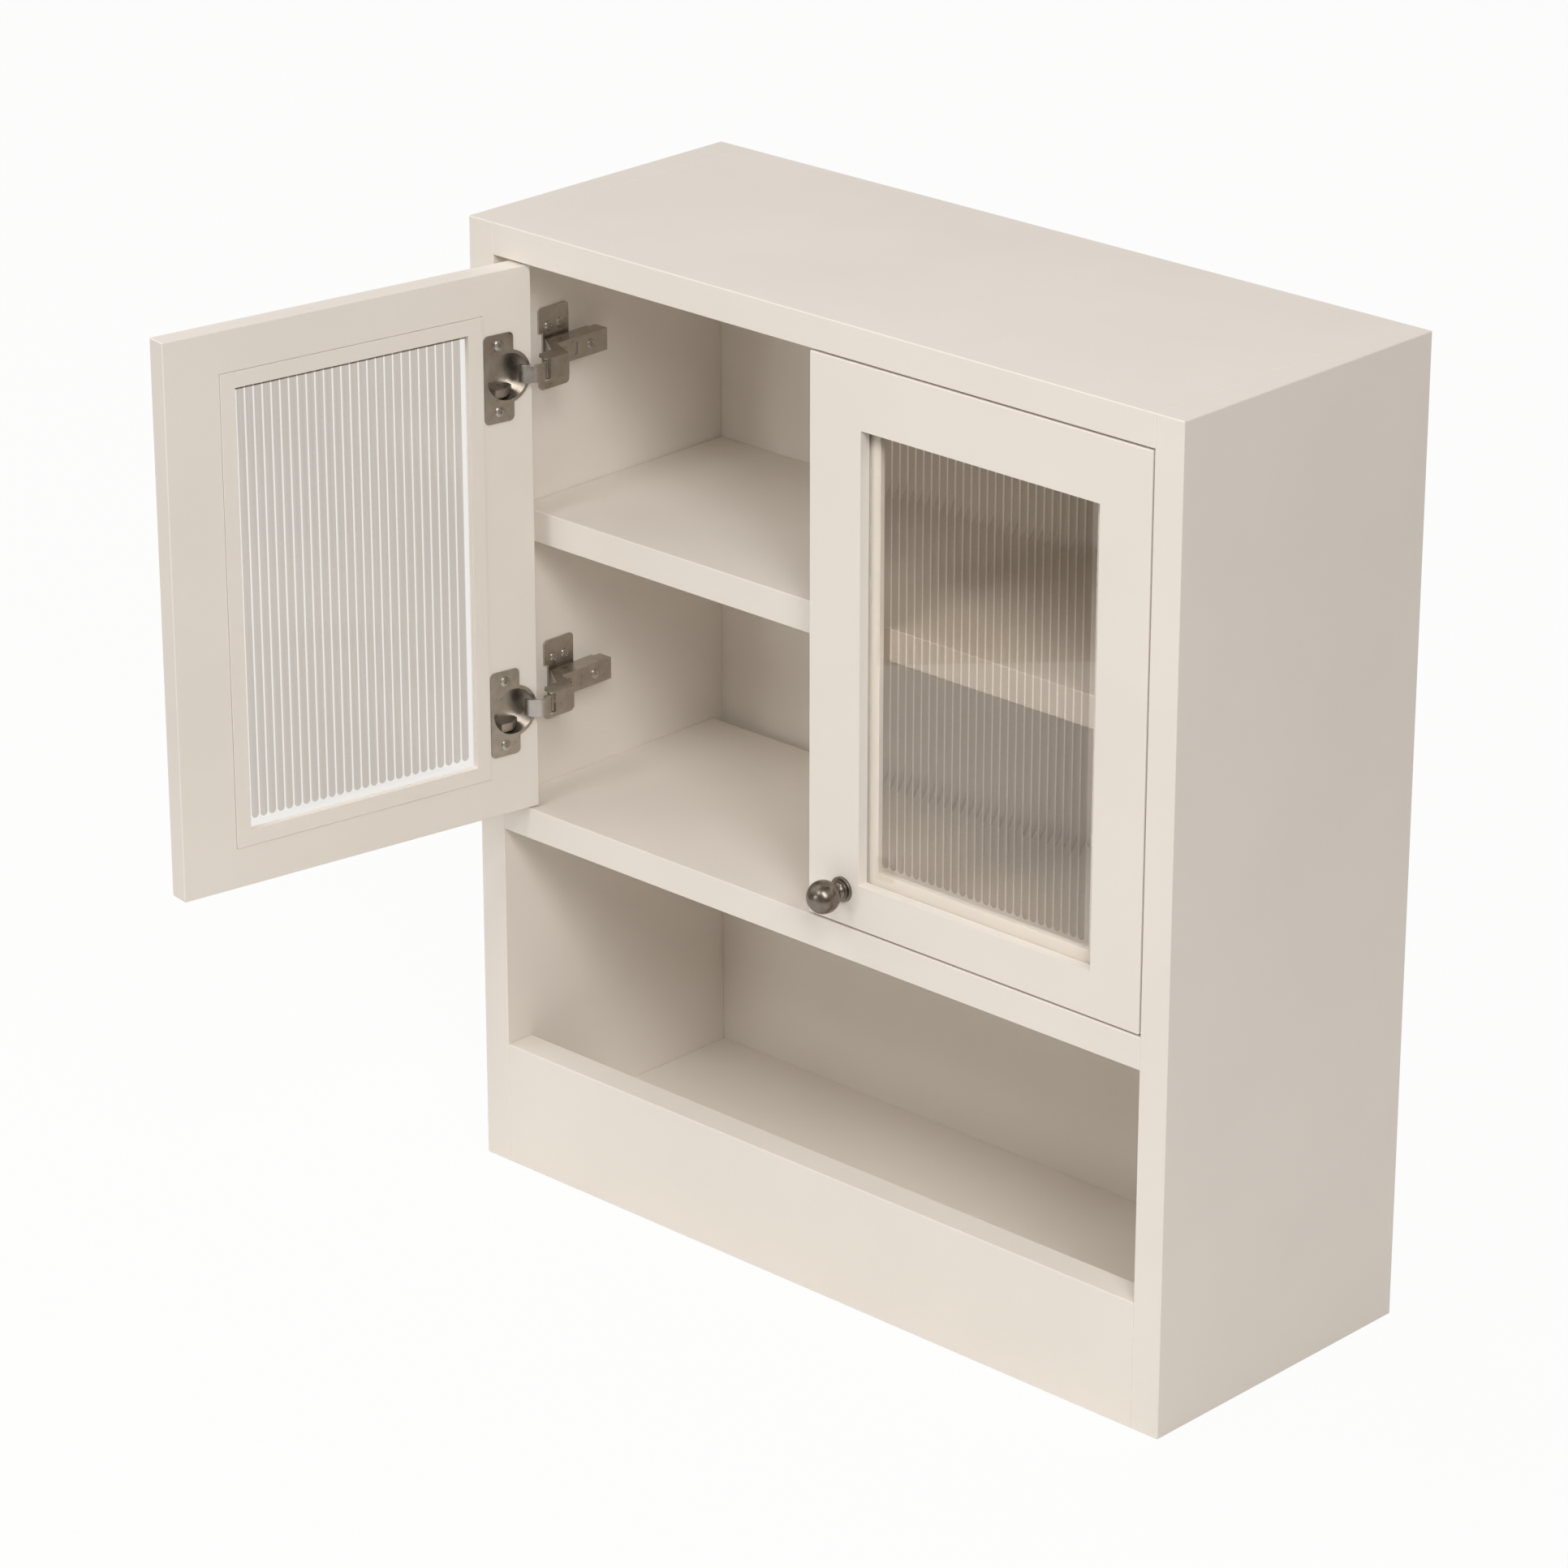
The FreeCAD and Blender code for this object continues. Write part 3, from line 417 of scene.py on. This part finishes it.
def reeded_pane(hand):
    """A closed pane: flat front, back on the same grid with a row of shallow reeds, and four edge strips."""
    half = REED_STEPS * REED_WIDE / 2
    one = np.concatenate([-half[:0:-1], half])
    lines = REED_MIDDLE + (np.arange(REED_COUNT) - REED_COUNT / 2 + 0.5) * REED_PITCH
    across = np.concatenate([[PANE["hinge"]], (lines[:, None] + one).ravel(), [PANE["free"]]])
    ends = REED_END * END_STEPS
    high = np.concatenate([[PANE["low"]], REED_LOW + ends, REED_ROWS, REED_HIGH - ends[::-1], [PANE["high"]]])
    s, z = np.meshgrid(across, high)
    swell = reed_thickness(s, z)
    back = door_points(hand, s, PANE_BACK + REED_SWELL * swell, z)
    front = door_points(hand, s, PANE_FRONT, z)
    rim = [np.stack([front[0], back[0]]), np.stack([front[-1], back[-1]]),
           np.stack([front[:, 0], back[:, 0]]), np.stack([front[:, -1], back[:, -1]])]
    rim_count = sum(strip.size // 3 for strip in rim)
    thick = np.concatenate([np.zeros(swell.size), swell.ravel(), np.zeros(rim_count)])
    grids = [(grid, False) for grid in [front, back] + rim]
    piece = surface_piece(hand + "_reeded_pane", grids, PANE_SHARP, thick=thick)
    dress(piece, hand + "_door", "reeded_glass", hand + "_glass")


for hand in HANDS:
    reeded_pane(hand)


# Knobs: places on a door, then radii and distances out from it

KNOB_FROM_EDGE = 29.0
KNOB_ACROSS = DOOR_WIDE - KNOB_FROM_EDGE
KNOB_HIGH = 24.0
KNOB_STAND = 17.5
KNOB_RADIUS = 11.0
KNOB_SIDES = 72
ROSETTE_RADIUS = 8.5
ROSETTE_TOP = 2.0
ROSETTE_EDGE = 0.8
STEP_RADIUS = 6.6
STEP_TOP = 3.5
STEP_EDGE = 0.6
NECK_FOOT = 5.4
NECK_HEAD = 4.4
NECK_HOLLOW = 1.0


def rounded_edge(radius, top, rounding):
    """A quarter circle in a profile, from a rim of that radius to its flat top."""
    turn = np.linspace(0, math.pi / 2, 7)
    out = radius - rounding + rounding * np.cos(turn)
    return np.stack([out, top - rounding + rounding * np.sin(turn)], -1)


def knob_profile():
    """Radius against distance out from the door: a rosette and a step with rounded edges, a neck that tapers
    straight less half a sine wave, and a circle's arc from the neck's head to the ball's pole."""
    start = np.array([[0.0, 0.0], [ROSETTE_RADIUS, 0.0]])
    rosette = rounded_edge(ROSETTE_RADIUS, ROSETTE_TOP, ROSETTE_EDGE)
    foot = np.array([[STEP_RADIUS, ROSETTE_TOP]])
    step = rounded_edge(STEP_RADIUS, STEP_TOP, STEP_EDGE)
    meet = math.asin(NECK_HEAD / KNOB_RADIUS)
    top = KNOB_STAND - KNOB_RADIUS * math.cos(meet)
    t = np.linspace(0, 1, 12)
    hollow = NECK_FOOT + (NECK_HEAD - NECK_FOOT) * t - NECK_HOLLOW * np.sin(math.pi * t)
    neck = np.stack([hollow, STEP_TOP + (top - STEP_TOP) * t], -1)
    sweep = np.linspace(meet, math.pi, 40)
    ball = np.stack([KNOB_RADIUS * np.sin(sweep), KNOB_STAND - KNOB_RADIUS * np.cos(sweep)], -1)
    return np.concatenate([start, rosette, foot, step, neck, ball[1:]])


def turned(profile, sides):
    """A profile of radius and height carried round an axis: two distances across it and one along it."""
    angle = np.linspace(0, 2 * math.pi, sides, endpoint=False)
    u = profile[:, :1] * np.cos(angle)
    v = profile[:, :1] * np.sin(angle)
    return u, v, np.repeat(profile[:, 1:], sides, axis=1)


def knob(hand):
    """The profile turned about the knob's axis, square to the door's front face."""
    u, v, out = turned(knob_profile(), KNOB_SIDES)
    points = door_points(hand, KNOB_ACROSS + u, -out, KNOB_HIGH + v)
    piece = surface_piece(hand + "_turned_knob", [(points, True)])
    dress(piece, hand + "_door", "pewter", hand + "_knob")


for hand in HANDS:
    knob(hand)


# Cross headed screws: the head and its recess, then length, shank radius and places of each kind

HEAD_RADIUS = 3.4
HEAD_RISE = 1.4
HEAD_FALL = 0.75
HEAD_POWER = 2.4
SCREW_TIP = 2.0
SCREW_SIDES = 48
RECESS_DEEP = 0.9
RECESS_HALF = 0.55
RECESS_WALL = 0.25
RECESS_REACH = 1.9
RECESS_END = 0.4

CUP_SCREW = (11.0, 1.7)
CUP_SCREW_ACROSS = 26.2
CUP_SCREW_RISES = (-22.5, 22.5)
CUP_FLANGE = 1.0
PLATE_SCREW = (14.0, 1.7)
PLATE_SCREW_BACKS = (47.5, 58.0)
PLATE_SCREW_RISES = (-15.0, 15.0)
PLATE_THICK = 1.6
ARM_SCREW = (12.4, 2.2)
ARM_SCREW_BACKS = (48.0, 72.0)
ARM_FACE = 16.0


def screw_grid(length, shank):
    """Distances across, along and out of a pan headed screw, as a profile turned about its axis: a cap that
    falls as the root of one less a power of the radius, the rim, the flat underside and a pointed shank. A
    cross is pressed into the cap where a point is near one of two lines and not too far from the axis."""
    reach = np.linspace(0, 1, 15)
    dome = HEAD_RISE * np.sqrt(np.clip(1 - HEAD_FALL * reach ** HEAD_POWER, 0, 1))
    cap = np.stack([HEAD_RADIUS * reach, dome], -1)
    body = np.array([[HEAD_RADIUS, 0.0], [shank, 0.0], [shank, SCREW_TIP - length], [0.0, -length]])
    profile = np.concatenate([cap, body])
    u, v, out = turned(profile, SCREW_SIDES)
    near = np.minimum(np.abs(u), np.abs(v))
    far = np.maximum(np.abs(u), np.abs(v))
    across = np.clip((RECESS_HALF - near) / RECESS_WALL, 0, 1)
    along = np.clip((RECESS_REACH - far) / RECESS_END, 0, 1)
    on_cap = (np.arange(len(profile)) < len(cap))[:, None]
    return u, v, out - np.where(on_cap, RECESS_DEEP * across * along, 0.0)


def cup_screws(hand):
    """Four screws standing on the cup flanges, which lie proud of the door's inner face."""
    u, v, out = screw_grid(*CUP_SCREW)
    deep = DOOR_THICK + CUP_FLANGE + out
    parts = [(door_points(hand, CUP_SCREW_ACROSS + u, deep, middle + rise + v), True)
             for middle in HINGE_HEIGHTS for rise in CUP_SCREW_RISES]
    piece = surface_piece(hand + "_cross_cup_screws", parts)
    dress(piece, hand + "_door", "hinge_steel", hand + "_cup_screws")


def plate_screws(hand):
    """Eight screws through the wings of the two mounting plates."""
    u, v, out = screw_grid(*PLATE_SCREW)
    parts = [(side_points(hand, PLATE_THICK + out, back + u, DOOR_RISE + middle + rise + v), True)
             for middle in HINGE_HEIGHTS for back in PLATE_SCREW_BACKS for rise in PLATE_SCREW_RISES]
    piece = surface_piece(hand + "_cross_plate_screws", parts)
    dress(piece, "cabinet", "hinge_steel", hand + "_plate_screws")


def arm_screws(hand):
    """Two screws along each hinge arm: the side adjuster near its crank and the fixing screw behind it."""
    u, v, out = screw_grid(*ARM_SCREW)
    parts = [(side_points(hand, ARM_FACE + out, back + u, DOOR_RISE + middle + v), True)
             for middle in HINGE_HEIGHTS for back in ARM_SCREW_BACKS]
    piece = surface_piece(hand + "_cross_arm_screws", parts)
    dress(piece, "cabinet", "hinge_steel", hand + "_arm_screws")


for hand in HANDS:
    cup_screws(hand)
    plate_screws(hand)
    arm_screws(hand)


# Floor, light and camera: metres, and degrees to the right of the front and above the level

CAMERA_AT = Vector((2.3672, -2.76385, 1.1686))
CAMERA_LENS = 135.81
CAMERA_SENSOR = 36.0
VIEW_TURN = 43.351
VIEW_LIFT = 22.344
PAPER_UNDER = 0.0005
PAPER_GLOW = 0.95
PAPER_NEAR = 2.4
PAPER_FAR = 7.4
PAPER_HALF = 1.10
MIDDLE = Vector((0.0, -0.15, -0.28))
LAMP_AWAY = 3.6


def direction(turn, lift):
    """The unit arrow out from the cabinet at a turn and a lift in degrees."""
    turn, lift = math.radians(turn), math.radians(lift)
    level = math.cos(lift)
    return Vector((math.sin(turn) * level, -math.cos(turn) * level, math.sin(lift)))


def white_paper():
    """A sheet of white paper under the cabinet, just larger than the picture. The camera, mirrors and glass
    see it nearly white with the shadow kept; beyond its edges they see the grey room."""
    material = bpy.data.materials.new("white_paper_sheet")
    material.use_nodes = True
    tree = material.node_tree
    tree.nodes.clear()
    paths = add(tree, "ShaderNodeLightPath")
    seen = add(tree, "ShaderNodeMath", {0: paths.outputs["Is Camera Ray"], 1: paths.outputs["Is Glossy Ray"]},
               operation="MAXIMUM")
    seen = add(tree, "ShaderNodeMath", {0: seen.outputs[0], 1: paths.outputs["Is Transmission Ray"]},
               operation="MAXIMUM")
    share = add(tree, "ShaderNodeMath", {0: seen.outputs[0], 1: PAPER_GLOW}, operation="MULTIPLY")
    matt = add(tree, "ShaderNodeBsdfDiffuse", {"Color": linear("#E4E2DF")})
    glow = add(tree, "ShaderNodeEmission", {"Color": grey(1.0), "Strength": 1.0})
    mixed = add(tree, "ShaderNodeMixShader", {0: share.outputs[0], 1: matt.outputs[0], 2: glow.outputs[0]})
    add(tree, "ShaderNodeOutputMaterial", {"Surface": mixed.outputs[0]})
    away = -direction(VIEW_TURN, 0.0)
    aside = direction(VIEW_TURN + 90.0, 0.0) * PAPER_HALF
    foot = Vector((CAMERA_AT.x, CAMERA_AT.y, CARCASS_BOTTOM * MM - PAPER_UNDER))
    near = foot + away * PAPER_NEAR
    far = foot + away * PAPER_FAR
    mesh = bpy.data.meshes.new("white_paper")
    mesh.from_pydata([near - aside, near + aside, far + aside, far - aside], [], [(0, 1, 2, 3)])
    floor = bpy.data.objects.new("white_paper", mesh)
    bpy.context.collection.objects.link(floor)
    mesh.materials.append(material)


def room_light():
    """An even, slightly warm grey room all round."""
    world = bpy.data.worlds.new("grey_room")
    bpy.context.scene.world = world
    world.use_nodes = True
    tree = world.node_tree
    tree.nodes.clear()
    room = add(tree, "ShaderNodeBackground", {"Color": linear("#938F8A"), "Strength": 1.0})
    add(tree, "ShaderNodeOutputWorld", {"Surface": room.outputs[0]})


def softbox(name, turn, lift, width, power):
    """A round white lamp of a width in metres and a power in watts, aimed at the cabinet's middle."""
    lamp = bpy.data.lights.new(name, "AREA")
    lamp.shape = "DISK"
    lamp.size = width
    lamp.energy = power
    holder = bpy.data.objects.new(name, lamp)
    out = direction(turn, lift)
    holder.location = MIDDLE + LAMP_AWAY * out
    holder.rotation_euler = (-out).to_track_quat("-Z", "Y").to_euler()
    bpy.context.collection.objects.link(holder)


def photo_camera():
    """The photograph's camera: long lens, square frame, from the right and above."""
    back = direction(VIEW_TURN, VIEW_LIFT)
    right = direction(VIEW_TURN + 90.0, 0.0)
    up = back.cross(right)
    lens = bpy.data.cameras.new("photo_camera")
    lens.sensor_width = CAMERA_SENSOR
    lens.lens = CAMERA_LENS
    camera = bpy.data.objects.new("photo_camera", lens)
    spot = Matrix((right, up, back)).transposed().to_4x4()
    spot.translation = CAMERA_AT
    camera.matrix_world = spot
    bpy.context.collection.objects.link(camera)
    bpy.context.scene.camera = camera


white_paper()
room_light()
softbox("key_light", 45, 45, 1.0, 27.5)
softbox("side_light", 58, 30, 1.0, 29.5)
softbox("front_light", 0, 44, 1.0, 18.0)
softbox("low_light", -12, 11, 1.0, 12.5)
softbox("left_ceiling", -80, 45, 5.0, 65.0)
photo_camera()
